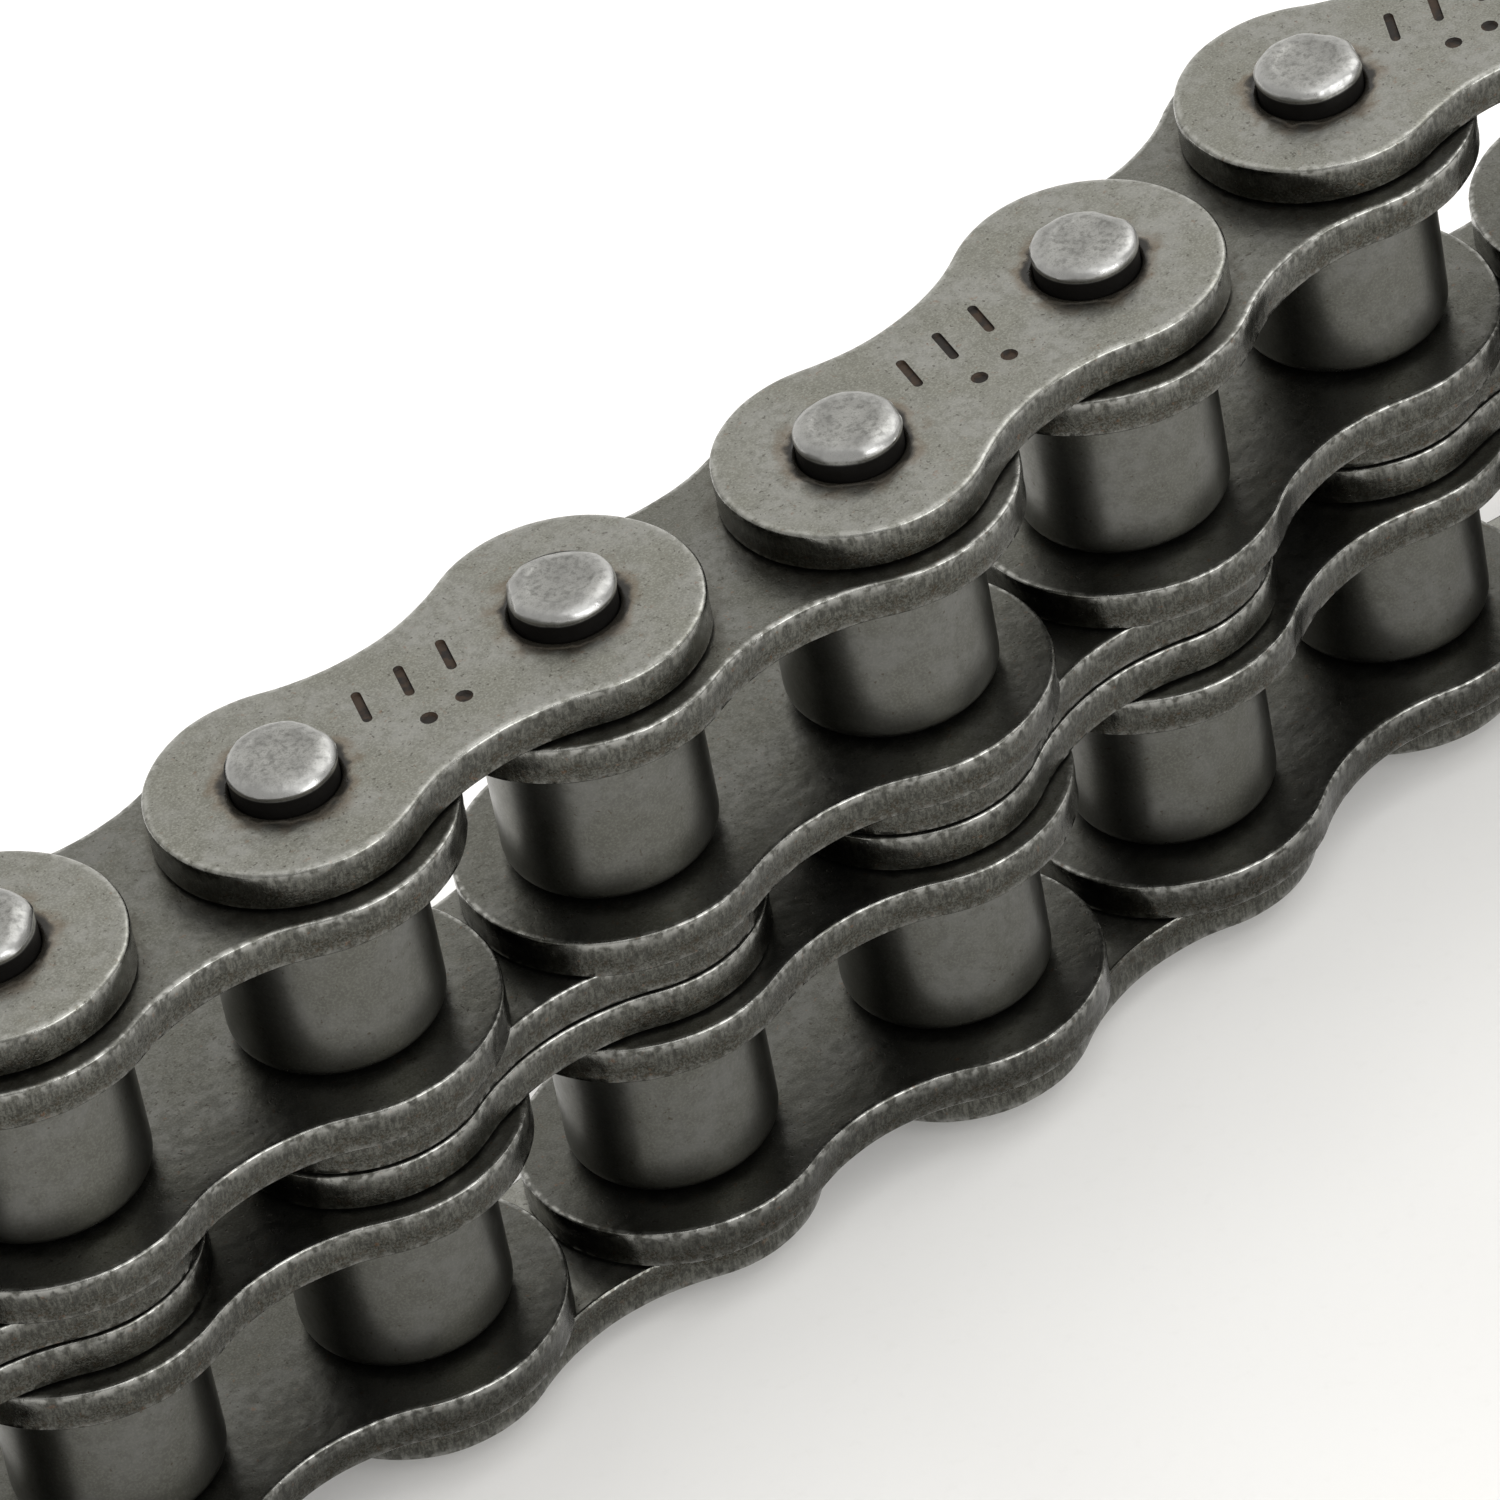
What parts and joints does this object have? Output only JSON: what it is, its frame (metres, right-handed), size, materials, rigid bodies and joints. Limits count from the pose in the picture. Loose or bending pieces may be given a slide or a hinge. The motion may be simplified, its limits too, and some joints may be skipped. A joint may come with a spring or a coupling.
{
  "type": "roller chain",
  "caption": "Length of double-strand riveted roller chain lying on its side: waisted link plates, free-turning rollers on bushings, riveted pins and an open bushing at each end.",
  "frame": {"origin": "centre of the chain's plan outline, on the flat surface that the lower pin heads stand on", "axes": "+Z along the pins, upwards; +X along the chain, exactly along the middle roller link"},
  "size_m": [0.1572, 0.0234, 0.0387],
  "materials": {
    "plate_steel": "matt grey blued and tumbled steel, darker with oil between the plates",
    "pin_steel": "bright worn steel, hammered at the riveted ends",
    "bushing_steel": "satin grey steel",
    "roller_steel": "satin dark grey steel"
  },
  "bodies": {
    "roller_link_1": {"roller_link_1_plates_upper": "plate_steel", "roller_link_1_plates_lower": "plate_steel", "roller_link_1_bushings": "bushing_steel"},
    "pin_link_1": {"pin_link_1_outer_plate_upper": "plate_steel", "pin_link_1_outer_plate_lower": "plate_steel", "pin_link_1_center_plate_upper": "plate_steel", "pin_link_1_center_plate_lower": "plate_steel", "pin_link_1_pin_a": "pin_steel", "pin_link_1_pin_b": "pin_steel"},
    "roller_link_2": {"roller_link_2_plates_upper": "plate_steel", "roller_link_2_plates_lower": "plate_steel", "roller_link_2_bushings": "bushing_steel"},
    "pin_link_2": {"pin_link_2_outer_plate_upper": "plate_steel", "pin_link_2_outer_plate_lower": "plate_steel", "pin_link_2_center_plate_upper": "plate_steel", "pin_link_2_center_plate_lower": "plate_steel", "pin_link_2_pin_a": "pin_steel", "pin_link_2_pin_b": "pin_steel"},
    "roller_link_3": {"roller_link_3_plates_upper": "plate_steel", "roller_link_3_plates_lower": "plate_steel", "roller_link_3_bushings": "bushing_steel"},
    "pin_link_3": {"pin_link_3_outer_plate_upper": "plate_steel", "pin_link_3_outer_plate_lower": "plate_steel", "pin_link_3_center_plate_upper": "plate_steel", "pin_link_3_center_plate_lower": "plate_steel", "pin_link_3_pin_a": "pin_steel", "pin_link_3_pin_b": "pin_steel"},
    "roller_link_4": {"roller_link_4_plates_upper": "plate_steel", "roller_link_4_plates_lower": "plate_steel", "roller_link_4_bushings": "bushing_steel"},
    "pin_link_4": {"pin_link_4_outer_plate_upper": "plate_steel", "pin_link_4_outer_plate_lower": "plate_steel", "pin_link_4_center_plate_upper": "plate_steel", "pin_link_4_center_plate_lower": "plate_steel", "pin_link_4_pin_a": "pin_steel", "pin_link_4_pin_b": "pin_steel"},
    "roller_link_5": {"roller_link_5_plates_upper": "plate_steel", "roller_link_5_plates_lower": "plate_steel", "roller_link_5_bushings": "bushing_steel"},
    "roller_link_1_roller_upper_a": {"roller_link_1_roller_upper_a": "roller_steel"},
    "roller_link_1_roller_upper_b": {"roller_link_1_roller_upper_b": "roller_steel"},
    "roller_link_1_roller_lower_a": {"roller_link_1_roller_lower_a": "roller_steel"},
    "roller_link_1_roller_lower_b": {"roller_link_1_roller_lower_b": "roller_steel"},
    "roller_link_2_roller_upper_a": {"roller_link_2_roller_upper_a": "roller_steel"},
    "roller_link_2_roller_upper_b": {"roller_link_2_roller_upper_b": "roller_steel"},
    "roller_link_2_roller_lower_a": {"roller_link_2_roller_lower_a": "roller_steel"},
    "roller_link_2_roller_lower_b": {"roller_link_2_roller_lower_b": "roller_steel"},
    "roller_link_3_roller_upper_a": {"roller_link_3_roller_upper_a": "roller_steel"},
    "roller_link_3_roller_upper_b": {"roller_link_3_roller_upper_b": "roller_steel"},
    "roller_link_3_roller_lower_a": {"roller_link_3_roller_lower_a": "roller_steel"},
    "roller_link_3_roller_lower_b": {"roller_link_3_roller_lower_b": "roller_steel"},
    "roller_link_4_roller_upper_a": {"roller_link_4_roller_upper_a": "roller_steel"},
    "roller_link_4_roller_upper_b": {"roller_link_4_roller_upper_b": "roller_steel"},
    "roller_link_4_roller_lower_a": {"roller_link_4_roller_lower_a": "roller_steel"},
    "roller_link_4_roller_lower_b": {"roller_link_4_roller_lower_b": "roller_steel"},
    "roller_link_5_roller_upper_a": {"roller_link_5_roller_upper_a": "roller_steel"},
    "roller_link_5_roller_upper_b": {"roller_link_5_roller_upper_b": "roller_steel"},
    "roller_link_5_roller_lower_a": {"roller_link_5_roller_lower_a": "roller_steel"},
    "roller_link_5_roller_lower_b": {"roller_link_5_roller_lower_b": "roller_steel"}
  },
  "joints": [
    {"name": "pin_link_2_swing", "type": "hinge", "parent": "roller_link_3", "child": "pin_link_2", "pos_m": [-0.0076, -0.00217, 0.01935], "axis": [0, 0, 1], "range_deg": [-63.95, 56.05]},
    {"name": "roller_link_2_swing", "type": "hinge", "parent": "pin_link_2", "child": "roller_link_2", "pos_m": [-0.02344, -0.00326, 0.01935], "axis": [0, 0, 1], "range_deg": [-55.94, 64.06]},
    {"name": "pin_link_1_swing", "type": "hinge", "parent": "roller_link_2", "child": "pin_link_1", "pos_m": [-0.03931, -0.00323, 0.01935], "axis": [0, 0, 1], "range_deg": [-60.61, 59.39]},
    {"name": "roller_link_1_swing", "type": "hinge", "parent": "pin_link_1", "child": "roller_link_1", "pos_m": [-0.05519, -0.00337, 0.01935], "axis": [0, 0, 1], "range_deg": [-62.5, 57.5]},
    {"name": "pin_link_3_swing", "type": "hinge", "parent": "roller_link_3", "child": "pin_link_3", "pos_m": [0.00827, -0.00217, 0.01935], "axis": [0, 0, 1], "range_deg": [-70.92, 49.08]},
    {"name": "roller_link_4_swing", "type": "hinge", "parent": "pin_link_3", "child": "roller_link_4", "pos_m": [0.02386, 0.00084, 0.01935], "axis": [0, 0, 1], "range_deg": [-61.29, 58.71]},
    {"name": "pin_link_4_swing", "type": "hinge", "parent": "roller_link_4", "child": "pin_link_4", "pos_m": [0.03938, 0.0042, 0.01935], "axis": [0, 0, 1], "range_deg": [-42.15, 77.85]},
    {"name": "roller_link_5_swing", "type": "hinge", "parent": "pin_link_4", "child": "roller_link_5", "pos_m": [0.05518, 0.00264, 0.01935], "axis": [0, 0, 1], "range_deg": [-63.64, 56.36]},
    {"name": "roller_link_1_roller_upper_a_spin", "type": "hinge", "parent": "roller_link_1", "child": "roller_link_1_roller_upper_a", "pos_m": [-0.07104, -0.0042, 0.0284], "axis": [0, 0, 1], "continuous": true},
    {"name": "roller_link_1_roller_upper_b_spin", "type": "hinge", "parent": "roller_link_1", "child": "roller_link_1_roller_upper_b", "pos_m": [-0.05519, -0.00337, 0.0284], "axis": [0, 0, 1], "continuous": true},
    {"name": "roller_link_1_roller_lower_a_spin", "type": "hinge", "parent": "roller_link_1", "child": "roller_link_1_roller_lower_a", "pos_m": [-0.07104, -0.0042, 0.0103], "axis": [0, 0, 1], "continuous": true},
    {"name": "roller_link_1_roller_lower_b_spin", "type": "hinge", "parent": "roller_link_1", "child": "roller_link_1_roller_lower_b", "pos_m": [-0.05519, -0.00337, 0.0103], "axis": [0, 0, 1], "continuous": true},
    {"name": "roller_link_2_roller_upper_a_spin", "type": "hinge", "parent": "roller_link_2", "child": "roller_link_2_roller_upper_a", "pos_m": [-0.03931, -0.00323, 0.0284], "axis": [0, 0, 1], "continuous": true},
    {"name": "roller_link_2_roller_upper_b_spin", "type": "hinge", "parent": "roller_link_2", "child": "roller_link_2_roller_upper_b", "pos_m": [-0.02344, -0.00326, 0.0284], "axis": [0, 0, 1], "continuous": true},
    {"name": "roller_link_2_roller_lower_a_spin", "type": "hinge", "parent": "roller_link_2", "child": "roller_link_2_roller_lower_a", "pos_m": [-0.03931, -0.00323, 0.0103], "axis": [0, 0, 1], "continuous": true},
    {"name": "roller_link_2_roller_lower_b_spin", "type": "hinge", "parent": "roller_link_2", "child": "roller_link_2_roller_lower_b", "pos_m": [-0.02344, -0.00326, 0.0103], "axis": [0, 0, 1], "continuous": true},
    {"name": "roller_link_3_roller_upper_a_spin", "type": "hinge", "parent": "roller_link_3", "child": "roller_link_3_roller_upper_a", "pos_m": [-0.0076, -0.00217, 0.0284], "axis": [0, 0, 1], "continuous": true},
    {"name": "roller_link_3_roller_upper_b_spin", "type": "hinge", "parent": "roller_link_3", "child": "roller_link_3_roller_upper_b", "pos_m": [0.00827, -0.00217, 0.0284], "axis": [0, 0, 1], "continuous": true},
    {"name": "roller_link_3_roller_lower_a_spin", "type": "hinge", "parent": "roller_link_3", "child": "roller_link_3_roller_lower_a", "pos_m": [-0.0076, -0.00217, 0.0103], "axis": [0, 0, 1], "continuous": true},
    {"name": "roller_link_3_roller_lower_b_spin", "type": "hinge", "parent": "roller_link_3", "child": "roller_link_3_roller_lower_b", "pos_m": [0.00827, -0.00217, 0.0103], "axis": [0, 0, 1], "continuous": true},
    {"name": "roller_link_4_roller_upper_a_spin", "type": "hinge", "parent": "roller_link_4", "child": "roller_link_4_roller_upper_a", "pos_m": [0.02386, 0.00084, 0.0284], "axis": [0, 0, 1], "continuous": true},
    {"name": "roller_link_4_roller_upper_b_spin", "type": "hinge", "parent": "roller_link_4", "child": "roller_link_4_roller_upper_b", "pos_m": [0.03938, 0.0042, 0.0284], "axis": [0, 0, 1], "continuous": true},
    {"name": "roller_link_4_roller_lower_a_spin", "type": "hinge", "parent": "roller_link_4", "child": "roller_link_4_roller_lower_a", "pos_m": [0.02386, 0.00084, 0.0103], "axis": [0, 0, 1], "continuous": true},
    {"name": "roller_link_4_roller_lower_b_spin", "type": "hinge", "parent": "roller_link_4", "child": "roller_link_4_roller_lower_b", "pos_m": [0.03938, 0.0042, 0.0103], "axis": [0, 0, 1], "continuous": true},
    {"name": "roller_link_5_roller_upper_a_spin", "type": "hinge", "parent": "roller_link_5", "child": "roller_link_5_roller_upper_a", "pos_m": [0.05518, 0.00264, 0.0284], "axis": [0, 0, 1], "continuous": true},
    {"name": "roller_link_5_roller_upper_b_spin", "type": "hinge", "parent": "roller_link_5", "child": "roller_link_5_roller_upper_b", "pos_m": [0.07104, 0.00208, 0.0284], "axis": [0, 0, 1], "continuous": true},
    {"name": "roller_link_5_roller_lower_a_spin", "type": "hinge", "parent": "roller_link_5", "child": "roller_link_5_roller_lower_a", "pos_m": [0.05518, 0.00264, 0.0103], "axis": [0, 0, 1], "continuous": true},
    {"name": "roller_link_5_roller_lower_b_spin", "type": "hinge", "parent": "roller_link_5", "child": "roller_link_5_roller_lower_b", "pos_m": [0.07104, 0.00208, 0.0103], "axis": [0, 0, 1], "continuous": true}
  ]
}
